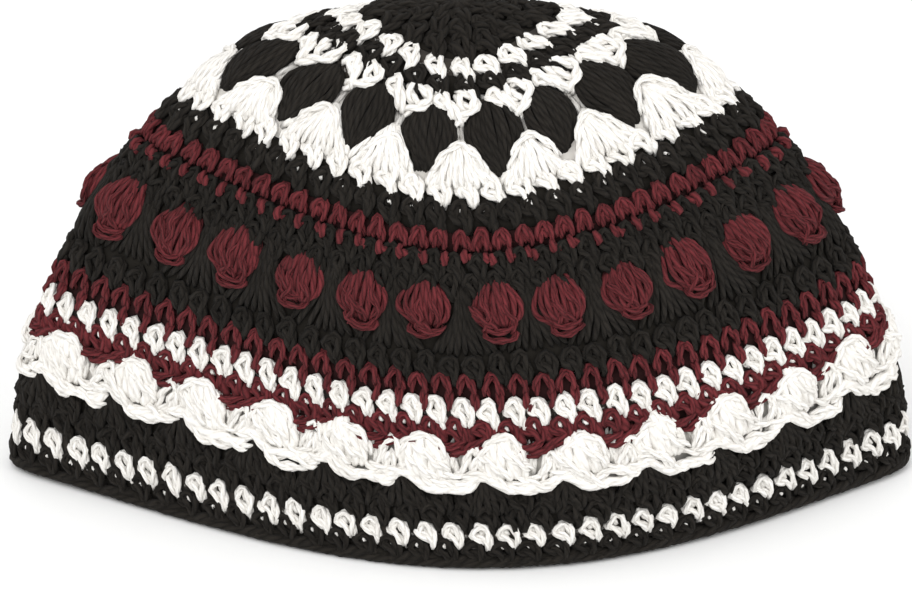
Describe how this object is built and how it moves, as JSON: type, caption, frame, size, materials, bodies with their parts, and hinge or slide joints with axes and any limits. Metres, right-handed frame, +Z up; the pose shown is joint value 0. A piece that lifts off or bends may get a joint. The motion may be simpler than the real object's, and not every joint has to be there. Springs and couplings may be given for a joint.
{
  "type": "crocheted kippah skullcap",
  "caption": "Deep crocheted skullcap worked in rounds of black, white and maroon yarn, with shells, fans, puffs and a row of bobbles, standing on its rim.",
  "frame": {"origin": "middle of the mouth, in the plane of the rim that the cap stands on", "axes": "+Z up to the crown, +X along the mouth from fold to fold, -Y to the front that the picture shows"},
  "size_m": [0.2481, 0.1224, 0.1418],
  "materials": {
    "black_yarn": "matt cotton yarn",
    "white_yarn": "matt cotton yarn",
    "maroon_yarn": "matt cotton yarn"
  },
  "bodies": {
    "root": {"crown_disc": "black_yarn", "black_round_1": "black_yarn", "puff_round": "black_yarn", "black_round_2": "black_yarn", "bobble_band": "black_yarn", "black_round_3": "black_yarn", "black_round_4": "black_yarn", "rim_chain": "black_yarn", "white_round_1": "white_yarn", "white_pair_round": "white_yarn", "fan_round": "white_yarn", "white_round_2": "white_yarn", "shell_round": "white_yarn", "white_round_3": "white_yarn", "maroon_round_1": "maroon_yarn", "maroon_round_2": "maroon_yarn", "maroon_round_3": "maroon_yarn", "bobble_01": "maroon_yarn", "bobble_02": "maroon_yarn", "bobble_03": "maroon_yarn", "bobble_04": "maroon_yarn", "bobble_05": "maroon_yarn", "bobble_06": "maroon_yarn", "bobble_07": "maroon_yarn", "bobble_08": "maroon_yarn", "bobble_09": "maroon_yarn", "bobble_10": "maroon_yarn", "bobble_11": "maroon_yarn", "bobble_12": "maroon_yarn", "bobble_13": "maroon_yarn", "bobble_14": "maroon_yarn", "bobble_15": "maroon_yarn", "bobble_16": "maroon_yarn", "bobble_17": "maroon_yarn", "bobble_18": "maroon_yarn", "bobble_19": "maroon_yarn", "bobble_20": "maroon_yarn", "bobble_21": "maroon_yarn", "bobble_22": "maroon_yarn", "bobble_23": "maroon_yarn", "bobble_24": "maroon_yarn", "bobble_25": "maroon_yarn"}
  },
  "joints": []
}
